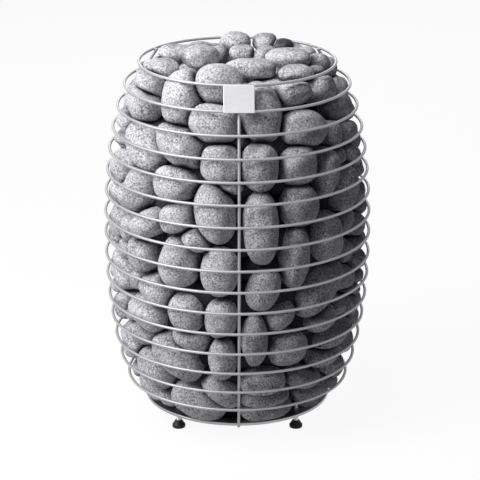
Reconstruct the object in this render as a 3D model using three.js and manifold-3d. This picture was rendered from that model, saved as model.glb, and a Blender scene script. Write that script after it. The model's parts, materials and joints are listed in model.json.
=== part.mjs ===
// A barrel-shaped sauna heater: a cage of level wire rings filled and heaped with rounded stones.
// Millimetres. The origin is on the floor under the middle, +Z is up and the front faces -Y.
import * as THREE from 'three';
import { mergeVertices } from 'three/addons/utils/BufferGeometryUtils.js';
import Module from 'manifold-3d';

const wasm = await Module();
wasm.setup();

// Cage
const WAIST_RADIUS = 207.7;
const END_RADIUS = 152;
const BASE_HEIGHT = 34;
const RING_PITCH = 34;
const RING_COUNT = 16;
const WIRE = 4.5;
const CAGE_TOP = BASE_HEIGHT + RING_COUNT * RING_PITCH;
const HALF_CAGE = (CAGE_TOP - BASE_HEIGHT) / 2;
const WAIST_HEIGHT = BASE_HEIGHT + HALF_CAGE;
const BARREL_RISE = 2.2;
const BARREL_ROUND = 1.5;
const FRONT_TURN = 0.8;
const UPRIGHT_TURNS = [FRONT_TURN, 120, -120];
const UPRIGHT_FOOT_RADIUS = 150.3;
const UPRIGHT_FOOT_HEIGHT = 30;
const RING_SIDES = 4;
const RING_STEPS = 24;
const GAP = 0.3;

// Front plate
const PLATE_WIDTH = 46;
const PLATE_HEIGHT = 43;
const PLATE_THICKNESS = 2;
const PLATE_DROP = 2;

// Base and feet
const BASE_RADIUS = 147.5;
const BASE_SHEET = 2;
const BASE_RIM = 4.5;
const FOOT_RING_RADIUS = 124.7;
const FOOT_TURNS = { front_left: -48.25, front_right: 48.25, rear_right: 131.75, rear_left: -131.75 };
const PAD_RADIUS = 10.5;
const PAD_SIDE = 5;
const PAD_HEIGHT = 12;
const PAD_NECK = 5.5;
const STUD_RADIUS = 4;
const STUD_FOOT = 7;
const STUD_TOP = 40;
const NUT_ACROSS = 13;
const NUT_HEIGHT = 6.5;

// Heating elements and terminal box
const TUBE_RADIUS = 4;
const HAIRPIN_HALF = 22;
const HAIRPIN_SPACING = 24;
const HAIRPIN_TOP = 460;
const LEG_FOOT = 22;
const CLAMP_HEIGHT = 250;
const CLAMP_MARGIN = 9;
const CLAMP_WIDTH = 2 * (HAIRPIN_SPACING + CLAMP_MARGIN);
const CLAMP_DEPTH = 2 * (HAIRPIN_HALF + CLAMP_MARGIN);
const HOLE_PLAY = 0.8;
const SHEET = 1.5;
const BOX_WIDTH = 136;
const BOX_DEPTH = 104;
const BOX_FLOOR = 9;
const BOX_CORNER = 8;
const BLOCK = { width: 84, depth: 20, height: 12 };
const GLAND = { flange: 10, body: 8, bore: 4.2, inside: 5, outside: 20 };

// Stones
const COURSE_COUNT = 8;
const COURSE_HEIGHT = 65;
const PILE_FLOOR = 36;
const WALL_CLEAR = 1.6;
const INNER_COUNT = 6;
const INNER_DEPTH = 30;
const INNER_REACH = 15;
const INNER_STONE = { length: 90, height: 30 };
const INNER_BOXINESS = 4;
const BOXINESS = 2.3;
const STONE_DEPTH_SHARE = 0.42;
const LEAST_DEPTH = 27;
const LARGE_STONE = 1300;
const LEAST_BACK_STONE = 700;
const BED_PLAY = 1.06;
const BED_RISE = 60;
const TILT_STEP = 5;

// Stones against the front of the cage: turn in degrees (0 is the front, + to its right as one looks at it),
// height of the centre, half width, half height, lean in degrees (+ lifts the right end), set back
const WALL_STONES = [
  [-74, 550, 30, 20, 0, 0], [-73, 521, 40, 28, -6, 0], [-37, 541, 33, 48, 6, 2],
  [-14, 516, 39, 29, -8, 0], [14.5, 528, 31, 46, 0, 2], [38, 553, 28, 17, -5, 0],
  [39.5, 502, 41, 28, -8, 0], [66, 546, 26, 24, 0, 4], [79, 512, 24, 34, 35, 0],
  [-59, 466, 46, 29, -30, 0], [-32, 481, 46, 31, -35, 0], [-8.5, 461, 30, 31, 0, 0],
  [3, 489, 22, 22, 0, 30], [12, 456, 27, 37, 0, 0], [33, 453, 29, 31, 0, 0], [50, 433, 17, 37, -17, 0],
  [66, 397, 20, 38, -26, 0], [77, 475, 27, 20, 0, 0], [75, 438, 19, 21, 0, 0],
  [-57, 402, 26, 38, -17, 0], [-32, 426, 35, 28, 15, 0], [-11, 385, 30, 48, 12, 0],
  [-4, 427, 20, 15, 0, 12], [12, 361, 26, 57, 0, 0], [32, 391, 31, 32, 0, 0], [50.5, 329, 27, 37, 0, 0],
  [29.5, 312, 22, 48, -3, 0], [-49, 353, 34, 21, 35, 0], [-30.5, 373, 26, 24, 15, 0],
  [-20, 343, 22, 16, -25, 0], [-54, 299, 28, 25, -30, 0], [-30.5, 303, 32, 42, 0, 0],
  [-9, 294, 29, 39, 0, 0], [-74, 254, 40, 23, -35, 0], [80, 320, 26, 20, 0, 0], [77, 297, 24, 15, 8, 0],
  [-43.5, 251, 30, 22, -20, 0], [-52, 202, 36, 26, -20, 0], [-26, 221, 28, 31, 0, 0],
  [-8, 219, 24, 31, 0, 0], [-25, 180, 30, 20, -20, 5], [13, 267, 25, 34, -22, 0],
  [22.5, 219, 27, 20, 42, 8], [45, 249, 50, 26, 38, 0], [46, 203, 27, 17, 16, 0],
  [74, 199, 20, 24, -15, 0], [60, 164, 42, 16, 22, 0], [9, 180, 20, 42, 0, 0], [27, 162, 32, 26, 12, 0],
  [-74, 138, 36, 17, -20, 0], [-56, 107, 42, 29, -20, 0], [-34, 142, 47, 29, -40, 0],
  [-8, 150, 21, 34, 0, 0], [-9.5, 88, 36, 21, -45, 4], [-25.5, 66, 43, 27, -15, 0],
  [-69, 63, 38, 20, -22, 0], [14.5, 108, 34, 19, 0, 0], [17, 76, 42, 15, 0, 10], [19, 54, 42, 17, 0, 0],
  [40, 103, 32, 17, -12, 0], [53, 134, 31, 16, 22, 0], [71, 98, 25, 20, 10, 0], [55, 70, 36, 15, 15, 0],
  [64, 52, 34, 14, 18, 0],
];

// Stones at the two sides, which have no twin at the back
const SIDE_STONES = [
  [-83, 484, 32, 17, 0, 0], [-90, 453, 22, 14, 0, 0], [-84, 414, 27, 27, 0, 0], [-88, 368, 28, 20, 0, 0],
  [-83, 322, 30, 24, 0, 0], [-92, 297, 24, 17, 0, 0], [-90, 240, 26, 16, 0, 0], [-86, 217, 24, 13, 0, 0],
  [-68, 217, 18, 15, 0, 0], [-81, 193, 26, 18, 0, 0], [-92, 171, 26, 17, 0, 0], [-84, 112, 26, 21, 0, 0],
  [95, 530, 26, 17, 0, 0], [95, 494, 26, 17, 0, 0], [93, 448, 28, 22, 0, 0], [92, 404, 22, 14, 0, 0],
  [88, 369, 28, 19, 10, 0], [94, 340, 26, 17, 0, 0], [93, 288, 24, 14, 0, 0], [82, 264, 26, 17, 10, 0],
  [82, 236, 26, 14, 10, 0], [76, 222, 20, 13, 10, 0], [88, 190, 24, 18, 0, 0], [92, 158, 26, 17, 0, 0],
  [78, 134, 28, 18, 15, 0], [82, 82, 28, 17, 15, 0],
];

// Stones bedded in the top of the heap: centre, half sizes along, across and up, heading in degrees
const BEDDED_STONES = [
  [72, 98, 577, 20, 22, 12, 0], [107, 46, 572, 17, 19, 16, 0], [126, 16, 572, 17, 20, 14, 0],
  [121, -44, 569, 13, 16, 11, 0], [-30, 60, 571, 15, 20, 17, 0], [44, 30, 573, 20, 21, 21, 0],
  [-59, 82, 571, 22, 18, 17, 0], [0, 0, 537, 46, 46, 30, 0], [75, 30, 545, 46, 44, 26, 20],
  [20, 78, 545, 46, 40, 26, -15], [-60, 55, 543, 46, 42, 26, 40], [-76, -30, 540, 44, 44, 24, 0],
  [-12, -76, 540, 44, 36, 26, 0], [60, -52, 543, 46, 40, 26, 30], [-25, 118, 548, 40, 26, 24, 0],
  [70, 105, 545, 38, 26, 24, 0],
];

// Loose stones lying on top of the heap, in the same columns
const CROWN_STONES = {
  crown_stone_back: [-4, 95, 584, 25, 26, 17, 0],
  crown_stone_back_right: [44, 104, 582, 21, 24, 13, 0],
  crown_stone_middle: [8, 38, 580, 20, 20, 12, 0],
  crown_stone_right: [77, -10, 584, 36, 26, 15, -5],
  crown_stone_centre: [19, -58, 580, 40, 25, 16, -8],
  crown_stone_front_right: [87, -68, 577, 27, 20, 12, 8],
  crown_stone_front: [-29, -112, 569, 39, 29, 32, 0],
  crown_stone_left: [-117, -14, 568, 30, 32, 16, 0],
  crown_stone_back_left: [-99, 55, 577, 27, 22, 12, 0],
  crown_stone_middle_left: [-55, 14, 581, 31, 22, 17, 30],
};

const steel = { color: 0xb9b7b4, roughness: 0.35, metalness: 0.9 };
const zinc = { color: 0xc9ccd0, roughness: 0.4, metalness: 0.9 };
const darkSteel = { color: 0x4a4a4c, roughness: 0.5, metalness: 0.8 };
const blackPlastic = { color: 0x161616, roughness: 0.6, metalness: 0 };
const porcelain = { color: 0xe8e4da, roughness: 0.5, metalness: 0 };
const stone = { color: 0x9a9998, roughness: 0.95, metalness: 0 };

const stove = new THREE.Group();

function addPiece(name, geometry, finish) {
  const piece = new THREE.Mesh(geometry, new THREE.MeshStandardMaterial(finish));
  piece.name = name;
  stove.add(piece);
  return piece;
}

function radians(degrees) {
  return THREE.MathUtils.degToRad(degrees);
}

// Booleans

function solidOf(geometry) {
  const bare = new THREE.BufferGeometry();
  bare.setAttribute('position', geometry.getAttribute('position'));
  bare.setIndex(geometry.index);
  const merged = mergeVertices(bare, 1e-3);
  const mesh = new wasm.Mesh({
    numProp: 3,
    vertProperties: new Float32Array(merged.attributes.position.array),
    triVerts: new Uint32Array(merged.index.array),
  });
  return new wasm.Manifold(mesh);
}

function geometryOf(solid) {
  const mesh = solid.getMesh();
  const geometry = new THREE.BufferGeometry();
  geometry.setAttribute('position', new THREE.BufferAttribute(mesh.vertProperties, 3));
  geometry.setIndex(new THREE.BufferAttribute(mesh.triVerts, 1));
  geometry.computeVertexNormals();
  return geometry;
}

function joined(geometries) {
  return geometries.map(solidOf).reduce((whole, piece) => whole.add(piece));
}

function uprightCylinder(radius, bottom, top, sides) {
  const geometry = new THREE.CylinderGeometry(radius, radius, top - bottom, sides);
  geometry.rotateX(Math.PI / 2);
  return geometry.translate(0, 0, (top + bottom) / 2);
}

// Revolves points of radius and height about the upright axis
function turned(points, sides) {
  const profile = points.map(([radius, height]) => new THREE.Vector2(radius, height));
  return new THREE.LatheGeometry(profile, sides).rotateX(Math.PI / 2);
}

// Place on a circle about the upright axis, from the turn away from the front
function onCircle(radius, turn, height) {
  return new THREE.Vector3(radius * Math.sin(radians(turn)), -radius * Math.cos(radians(turn)), height);
}

// Barrel outline of the cage

function wallRadius(height) {
  const share = Math.min(Math.abs(height - WAIST_HEIGHT) / HALF_CAGE, 1);
  return END_RADIUS + (WAIST_RADIUS - END_RADIUS) * (1 - share ** BARREL_RISE) ** (1 / BARREL_ROUND);
}

// Angle by which the wall's outward side faces upwards, measured over a step to each side
function wallTilt(height, step) {
  const low = Math.max(height - step, BASE_HEIGHT);
  const high = Math.min(height + step, CAGE_TOP);
  return Math.atan((wallRadius(low) - wallRadius(high)) / (high - low));
}

function ringHeight(number) {
  return CAGE_TOP - (number - 1) * RING_PITCH;
}

function addRings() {
  for (let number = 1; number <= RING_COUNT; number += 1) {
    const radius = wallRadius(ringHeight(number));
    const geometry = new THREE.TorusGeometry(radius, WIRE / 2, RING_SIDES, RING_STEPS);
    const ring = addPiece(`ring_${String(number).padStart(2, '0')}`, geometry, steel);
    ring.position.z = ringHeight(number);
    ring.rotation.z = -Math.PI / 2;
  }
}

// Each upright touches the rings from inside and ends on the rim of the base
function uprightGeometry(turn) {
  const places = [onCircle(UPRIGHT_FOOT_RADIUS, turn, UPRIGHT_FOOT_HEIGHT)];
  for (let number = RING_COUNT; number >= 1; number -= 1) {
    const height = ringHeight(number);
    const inside = (WIRE + 2 * GAP) / Math.cos(wallTilt(height, RING_PITCH));
    places.push(onCircle(wallRadius(height) - inside, turn, height));
  }
  const section = new THREE.Shape().absarc(0, 0, WIRE / 2, 0, 2 * Math.PI);
  const path = new THREE.CatmullRomCurve3(places);
  return new THREE.ExtrudeGeometry(section, {
    curveSegments: 3, steps: 18, bevelEnabled: false, extrudePath: path,
  });
}

function addUprights() {
  const names = ['upright_front', 'upright_right', 'upright_left'];
  UPRIGHT_TURNS.forEach((turn, index) => addPiece(names[index], uprightGeometry(turn), steel));
}

// A bare plate lies on the fronts of the two top rings, over the front upright
function addFrontPlate() {
  const [top, bottom] = [ringHeight(1), ringHeight(2)];
  const tilt = Math.atan2(wallRadius(bottom) - wallRadius(top), top - bottom);
  const plate = addPiece(
    'front_plate',
    new THREE.BoxGeometry(PLATE_WIDTH, PLATE_THICKNESS, PLATE_HEIGHT),
    steel,
  );
  const offset = WIRE / 2 + GAP + PLATE_THICKNESS / 2;
  const outward = offset * Math.cos(tilt) + PLATE_DROP * Math.sin(tilt);
  const upward = offset * Math.sin(tilt) - PLATE_DROP * Math.cos(tilt);
  const radius = (wallRadius(top) + wallRadius(bottom)) / 2 + outward;
  plate.position.copy(onCircle(radius, FRONT_TURN, (top + bottom) / 2 + upward));
  plate.rotation.set(-tilt, 0, radians(FRONT_TURN), 'ZXY');
}

// Base plate

function hairpinPlaces() {
  return [-1, 0, 1].map((row) => row * HAIRPIN_SPACING);
}

function legPlaces() {
  return hairpinPlaces().flatMap((x) => [[x, -HAIRPIN_HALF], [x, HAIRPIN_HALF]]);
}

function addBasePlate() {
  const inner = BASE_RADIUS - BASE_SHEET;
  const under = BASE_HEIGHT - BASE_SHEET;
  const rim = BASE_HEIGHT - BASE_RIM;
  const edge = [[BASE_RADIUS, BASE_HEIGHT - BASE_SHEET / 2], [BASE_RADIUS - BASE_SHEET / 2, BASE_HEIGHT]];
  const underside = [[0, under], [inner, under], [inner, rim], [BASE_RADIUS, rim]];
  const profile = [...underside, ...edge, [0, BASE_HEIGHT]];
  let plate = solidOf(turned(profile, 28));
  for (const turn of Object.values(FOOT_TURNS)) {
    const hole = uprightCylinder(STUD_RADIUS + GAP, rim, BASE_HEIGHT + 1, 8);
    const place = onCircle(FOOT_RING_RADIUS, turn, 0);
    plate = plate.subtract(solidOf(hole.translate(place.x, place.y, 0)));
  }
  for (const [x, y] of legPlaces()) {
    const hole = uprightCylinder(TUBE_RADIUS + GAP, rim, BASE_HEIGHT + 1, 8);
    plate = plate.subtract(solidOf(hole.translate(x, y, 0)));
  }
  addPiece('base_plate', geometryOf(plate), steel);
}

// Levelling feet

function padGeometry() {
  const socket = STUD_RADIUS + GAP;
  const floor = STUD_FOOT - GAP;
  return turned([
    [0, 0], [PAD_RADIUS - 1, 0], [PAD_RADIUS, 1], [PAD_RADIUS, PAD_SIDE], [PAD_NECK, PAD_HEIGHT],
    [socket, PAD_HEIGHT], [socket, floor], [0, floor],
  ], 10);
}

function nutGeometry() {
  const corner = NUT_ACROSS / 2 / Math.cos(Math.PI / 6);
  const hexagon = new THREE.Shape();
  for (let side = 0; side < 6; side += 1) {
    const angle = (side * Math.PI) / 3;
    const place = [corner * Math.cos(angle), corner * Math.sin(angle)];
    if (side === 0) hexagon.moveTo(...place);
    else hexagon.lineTo(...place);
  }
  hexagon.closePath();
  hexagon.holes.push(new THREE.Path().absarc(0, 0, STUD_RADIUS + GAP, 0, 2 * Math.PI));
  return new THREE.ExtrudeGeometry(hexagon, { depth: NUT_HEIGHT, curveSegments: 4, bevelEnabled: false });
}

function addFeet() {
  for (const [corner, turn] of Object.entries(FOOT_TURNS)) {
    const place = onCircle(FOOT_RING_RADIUS, turn, 0);
    const pad = addPiece(`foot_pad_${corner}`, padGeometry(), blackPlastic);
    pad.position.copy(place);
    const stud = addPiece(`foot_stud_${corner}`, uprightCylinder(STUD_RADIUS, STUD_FOOT, STUD_TOP, 8), zinc);
    stud.position.copy(place);
    const nut = addPiece(`foot_nut_${corner}`, nutGeometry(), zinc);
    nut.position.copy(place);
    nut.position.z = BASE_HEIGHT - BASE_SHEET - GAP - NUT_HEIGHT;
  }
}

// Heating elements

function hairpinGeometry() {
  const bendHeight = HAIRPIN_TOP - HAIRPIN_HALF;
  const legs = [-HAIRPIN_HALF, HAIRPIN_HALF].map((y) => (
    uprightCylinder(TUBE_RADIUS, LEG_FOOT, bendHeight, 8).translate(0, y, 0)
  ));
  const quarter = Math.PI / 2;
  const arc = [-1, -0.5, 0, 0.5, 1].map((share) => new THREE.Vector3(
    0,
    HAIRPIN_HALF * Math.sin(share * quarter),
    bendHeight + HAIRPIN_HALF * Math.cos(share * quarter),
  ));
  const section = new THREE.Shape().absarc(0, 0, TUBE_RADIUS, 0, 2 * Math.PI);
  const bend = new THREE.ExtrudeGeometry(section, {
    curveSegments: 4, steps: 8, bevelEnabled: false, extrudePath: new THREE.CatmullRomCurve3(arc),
  });
  return geometryOf(joined([...legs, bend]));
}

function addHeatingElements() {
  const names = ['left', 'middle', 'right'];
  hairpinPlaces().forEach((x, index) => {
    const element = addPiece(`heating_element_${names[index]}`, hairpinGeometry(), darkSteel);
    element.position.x = x;
  });
}

function roundedRectangle(width, depth, corner) {
  const shape = new THREE.Shape();
  const right = width / 2 - corner;
  const back = depth / 2 - corner;
  shape.absarc(right, back, corner, 0, Math.PI / 2);
  shape.absarc(-right, back, corner, Math.PI / 2, Math.PI);
  shape.absarc(-right, -back, corner, Math.PI, 1.5 * Math.PI);
  shape.absarc(right, -back, corner, 1.5 * Math.PI, 2 * Math.PI);
  shape.closePath();
  return shape;
}

// A plate with six holes keeps the legs of the elements apart
function addElementClamp() {
  const shape = roundedRectangle(CLAMP_WIDTH, CLAMP_DEPTH, CLAMP_MARGIN);
  for (const [x, y] of legPlaces()) {
    shape.holes.push(new THREE.Path().absarc(x, y, TUBE_RADIUS + HOLE_PLAY, 0, 2 * Math.PI));
  }
  const geometry = new THREE.ExtrudeGeometry(shape, { depth: SHEET, curveSegments: 3, bevelEnabled: false });
  addPiece('element_clamp', geometry, darkSteel).position.z = CLAMP_HEIGHT;
}

// Terminal box under the base plate

function boxTop() {
  return BASE_HEIGHT - BASE_SHEET - GAP;
}

function glandHeight() {
  return (BOX_FLOOR + SHEET + boxTop()) / 2;
}

function addTerminalBox() {
  const wall = roundedRectangle(BOX_WIDTH, BOX_DEPTH, BOX_CORNER);
  wall.holes.push(roundedRectangle(BOX_WIDTH - 2 * SHEET, BOX_DEPTH - 2 * SHEET, BOX_CORNER - SHEET));
  const bottom = BOX_FLOOR + SHEET + GAP;
  const height = boxTop() - bottom;
  const tube = new THREE.ExtrudeGeometry(wall, { depth: height, curveSegments: 2, bevelEnabled: false });
  const hole = new THREE.CylinderGeometry(GLAND.body + GAP, GLAND.body + GAP, 4 * SHEET, 12);
  hole.translate(0, BOX_DEPTH / 2, glandHeight());
  const box = solidOf(tube.translate(0, 0, bottom)).subtract(solidOf(hole));
  addPiece('terminal_box', geometryOf(box), steel);
  const lid = new THREE.ExtrudeGeometry(
    roundedRectangle(BOX_WIDTH, BOX_DEPTH, BOX_CORNER),
    { depth: SHEET, curveSegments: 2, bevelEnabled: false },
  );
  addPiece('box_cover', lid, steel).position.z = BOX_FLOOR;
}

function addTerminalBlock() {
  const block = addPiece(
    'terminal_block',
    new THREE.BoxGeometry(BLOCK.width, BLOCK.depth, BLOCK.height),
    porcelain,
  );
  block.position.z = BOX_FLOOR + SHEET + GAP + BLOCK.height / 2;
}

// The gland is a bored sleeve with a collar against the outside of the rear wall
function addCableGland() {
  const profile = [
    [GLAND.bore, -GLAND.inside], [GLAND.body, -GLAND.inside], [GLAND.body, GAP], [GLAND.flange, GAP],
    [GLAND.flange, GLAND.outside * 0.3], [GLAND.body, GLAND.outside * 0.4],
    [GLAND.body * 0.8, GLAND.outside], [GLAND.bore, GLAND.outside], [GLAND.bore, -GLAND.inside],
  ];
  const points = profile.map(([radius, reach]) => new THREE.Vector2(radius, reach));
  const gland = addPiece('cable_gland', new THREE.LatheGeometry(points, 12), blackPlastic);
  gland.position.set(0, BOX_DEPTH / 2, glandHeight());
}

// Stones

// A pebble is a coarse ball pushed a little towards a box and stretched to its half sizes
function pebble(ball, boxiness, along, across, up) {
  const geometry = ball.clone();
  const place = geometry.getAttribute('position');
  for (let index = 0; index < place.count; index += 1) {
    const x = place.getX(index);
    const y = place.getY(index);
    const z = place.getZ(index);
    const power = Math.abs(x) ** boxiness + Math.abs(y) ** boxiness + Math.abs(z) ** boxiness;
    const reach = power ** (-1 / boxiness);
    place.setXYZ(index, x * reach * along, y * reach * across, z * reach * up);
  }
  return geometry;
}

const largeBall = new THREE.OctahedronGeometry(1, 1);
const smallBall = new THREE.IcosahedronGeometry(1, 0);

// Half width times half height tells large wall stones from small ones
function faceSize([, , halfWidth, halfHeight]) {
  return halfWidth * halfHeight;
}

function hidesUpright(turn, height, halfWidth) {
  return UPRIGHT_TURNS.some((upright) => {
    const apart = Math.abs(THREE.MathUtils.euclideanModulo(turn - upright + 180, 360) - 180);
    return radians(apart) * wallRadius(height) < halfWidth;
  });
}

// A wall stone lies flat against the inside of the rings, or of an upright where one crosses it
function wallStone(row, grow) {
  const [turn, height, halfWidth, halfHeight, lean, back] = row;
  const ball = faceSize(row) > LARGE_STONE ? largeBall : smallBall;
  const depth = Math.max(STONE_DEPTH_SHARE * (halfWidth + halfHeight), LEAST_DEPTH);
  const tilt = wallTilt(height, TILT_STEP);
  const clear = WIRE / 2 + WALL_CLEAR + back + (hidesUpright(turn, height, halfWidth) ? WIRE + GAP : 0);
  const radius = wallRadius(height) - (depth + clear) / Math.cos(tilt);
  const geometry = pebble(ball, BOXINESS, halfWidth + grow, depth + grow, halfHeight + grow);
  geometry.rotateY(-radians(lean));
  geometry.rotateX(-tilt);
  geometry.rotateZ(radians(turn));
  const centre = onCircle(radius, turn, height);
  return geometry.translate(centre.x, centre.y, centre.z);
}

// An inner stone fills the pile from the wall stones to the heating elements
function innerStone([turn, height], grow) {
  const { length, height: halfHeight } = INNER_STONE;
  const outside = wallRadius(height) - INNER_DEPTH;
  const depth = (outside - INNER_REACH) / 2;
  const geometry = pebble(smallBall, INNER_BOXINESS, length + grow, depth + grow, halfHeight + grow);
  geometry.rotateZ(radians(turn));
  const centre = onCircle(outside - depth, turn, height);
  return geometry.translate(centre.x, centre.y, centre.z);
}

function heapStone([x, y, z, along, across, up, heading], grow) {
  const geometry = pebble(largeBall, BOXINESS, along + grow, across + grow, up + grow);
  return geometry.rotateZ(radians(heading)).translate(x, y, z);
}

// Room above the widest part of a loose stone, so that it lifts straight out of its bed
function bedRoom([x, y, z, along, across, , heading]) {
  const room = uprightCylinder(BED_PLAY, 0, BED_RISE, 8).scale(along, across, 1);
  return room.rotateZ(radians(heading)).translate(x, y, z);
}

function courseOf(height) {
  const course = Math.floor((height - PILE_FLOOR) / COURSE_HEIGHT);
  return THREE.MathUtils.clamp(course, 0, COURSE_COUNT - 1);
}

function behind([turn, ...rest]) {
  return [turn + 180, ...rest];
}

function joinedRows(rows, make, grow) {
  return joined(rows.map((row) => make(row, grow)));
}

// Rows of the stones of one course against the wall; the back repeats the larger ones of the front
function wallRows(course) {
  const back = WALL_STONES.filter((row) => faceSize(row) >= LEAST_BACK_STONE).map(behind);
  const all = [...WALL_STONES, ...back, ...SIDE_STONES];
  return all.filter((row) => courseOf(row[1]) === course);
}

function innerRows(course) {
  const height = PILE_FLOOR + (course + 0.5) * COURSE_HEIGHT;
  const turnStep = 360 / INNER_COUNT;
  const first = (course % 2) * (turnStep / 2);
  return Array.from({ length: INNER_COUNT }, (_, index) => [first + index * turnStep, height]);
}

function innerSolid(course, grow) {
  const inner = joinedRows(innerRows(course), innerStone, grow);
  const isTop = course === COURSE_COUNT - 1;
  return isTop ? inner.add(joinedRows(BEDDED_STONES, heapStone, grow)) : inner;
}

function largestBody(solid) {
  return solid.decompose().sort((a, b) => b.volume() - a.volume())[0];
}

// Room kept for the base plate, and for the studs of the feet, which reach up between the lowest stones
function baseRoom() {
  const studs = Object.values(FOOT_TURNS).map((turn) => {
    const place = onCircle(FOOT_RING_RADIUS, turn, 0);
    return uprightCylinder(STUD_RADIUS + 2 * GAP, 0, STUD_TOP + 2 * GAP, 8).translate(place.x, place.y, 0);
  });
  return joined([uprightCylinder(WAIST_RADIUS, 0, BASE_HEIGHT + GAP, 32), ...studs]);
}

// Room kept for the heating elements and for the clamp on them
function elementRoom() {
  const round = TUBE_RADIUS + GAP;
  const height = HAIRPIN_TOP + round;
  const bank = new THREE.BoxGeometry(2 * (HAIRPIN_SPACING + round), 2 * (HAIRPIN_HALF + round), height);
  const clamp = new THREE.BoxGeometry(CLAMP_WIDTH + 2 * GAP, CLAMP_DEPTH + 2 * GAP, SHEET + 2 * GAP);
  return joined([
    bank.translate(0, 0, height / 2),
    clamp.translate(0, 0, CLAMP_HEIGHT + SHEET / 2),
  ]);
}

function addCrownStones() {
  for (const [name, row] of Object.entries(CROWN_STONES)) {
    addPiece(name, heapStone(row, 0), stone);
  }
}

// From the top down, a stone is cut to the undersides of those above it, and inner stones to all wall stones
function addStoneCourses() {
  const courses = Array.from({ length: COURSE_COUNT }, (_, course) => course);
  const wallRoom = courses.map((course) => joinedRows(wallRows(course), wallStone, GAP));
  const loose = Object.values(CROWN_STONES);
  const beds = joinedRows(loose, heapStone, GAP).add(joined(loose.map(bedRoom)));
  let above = beds.add(baseRoom());
  let innerAbove = above.add(elementRoom());
  for (const course of courses.reverse()) {
    const wall = joinedRows(wallRows(course), wallStone, 0).subtract(above);
    let inner = innerSolid(course, 0).subtract(innerAbove);
    for (const other of wallRoom.filter((_, index) => index !== course)) inner = inner.subtract(other);
    addPiece(`stone_course_${course + 1}`, geometryOf(largestBody(wall.add(inner))), stone);
    above = above.add(wallRoom[course]);
    innerAbove = innerAbove.add(innerSolid(course, GAP));
  }
}

addRings();
addUprights();
addFrontPlate();
addBasePlate();
addFeet();
addHeatingElements();
addElementClamp();
addTerminalBox();
addTerminalBlock();
addCableGland();
addCrownStones();
addStoneCourses();

export default stove;
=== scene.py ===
import json
import math

import bmesh
import bpy
import numpy as np
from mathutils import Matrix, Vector


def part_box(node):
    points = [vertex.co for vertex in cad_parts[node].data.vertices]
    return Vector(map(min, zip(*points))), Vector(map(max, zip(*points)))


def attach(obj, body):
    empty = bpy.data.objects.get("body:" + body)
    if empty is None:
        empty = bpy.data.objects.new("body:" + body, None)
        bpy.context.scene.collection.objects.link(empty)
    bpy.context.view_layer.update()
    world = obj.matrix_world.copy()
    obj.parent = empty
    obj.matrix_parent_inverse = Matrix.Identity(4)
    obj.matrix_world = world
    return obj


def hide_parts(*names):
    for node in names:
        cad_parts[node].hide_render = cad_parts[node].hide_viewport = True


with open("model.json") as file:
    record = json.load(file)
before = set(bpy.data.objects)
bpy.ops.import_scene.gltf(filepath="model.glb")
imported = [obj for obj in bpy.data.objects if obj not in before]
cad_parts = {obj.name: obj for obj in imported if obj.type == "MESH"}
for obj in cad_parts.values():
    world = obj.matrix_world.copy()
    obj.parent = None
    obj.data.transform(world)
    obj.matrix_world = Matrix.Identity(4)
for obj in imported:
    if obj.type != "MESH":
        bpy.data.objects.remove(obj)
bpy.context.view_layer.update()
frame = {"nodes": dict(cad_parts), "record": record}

MM = 0.001

# Camera, fitted to the photograph's rings
CAMERA_PLACE = (0, -3.2347, 1.3953)
CAMERA_DOWN = 18.94
CAMERA_LENS = 161.8
CAMERA_SHIFT = 0.0055
FLOOR_HALF = 6

# Cage
RING_COUNT = 16
WIRE = 4.5 * MM
RING_STEPS = 192
WIRE_SIDES = 14
FRONT_TURN = 0.8
UPRIGHT_TURNS = {"upright_front": FRONT_TURN, "upright_right": 120, "upright_left": -120}
UPRIGHT_FOOT = (150.3 * MM, 30 * MM)
WELD_LENGTH = 3 * MM
WELD_SWELL = 0.16
BEAD = (3.6 * MM, 2.0 * MM, 2.7 * MM)
GAP = 0.3 * MM

# Front plate
PLATE_SIZE = (46 * MM, 2 * MM, 43 * MM)
PLATE_DROP = 2 * MM
PLATE_EDGE = 0.5 * MM

# Base and feet
BASE_SHEET = 2 * MM
PAD_NECK = 5.5 * MM
PAD_SIDE = 5 * MM
THREAD_PITCH = 1.25 * MM
THREAD_DEPTH = 0.55 * MM
CORNERS = ["front_left", "front_right", "rear_right", "rear_left"]

# Stones, in millimetres as they are listed
COURSE_COUNT = 8
COURSE_HEIGHT = 65
PILE_FLOOR = 36
WALL_CLEAR = 1.6
STONE_DEPTH_SHARE = 0.42
LEAST_DEPTH = 27
TILT_STEP = 17
CONTACT_GAP = 1.4 * MM
CONTACT_ROUND = 0.055
NEAREST = 0.3
FARTHEST = 1.35
REACH_STEPS = 24
EASE_ROUNDS = 8
FLAT_COUNT = 9
FLAT_REACH = (0.9, 1.06)
FLAT_ROUND = 0.09
BOXINESS = (2.15, 2.5)
SWELL = 1.06
STONE_SEED = 11
# Painted shade: a per-point attribute that darkens each stone where it comes near a neighbour, and darkens
# the hidden inner stones all over
PAINTED_SHADE_ATTRIBUTE = "painted_shade"
PAINTED_SHADE_REACH = 7 * MM

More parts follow.
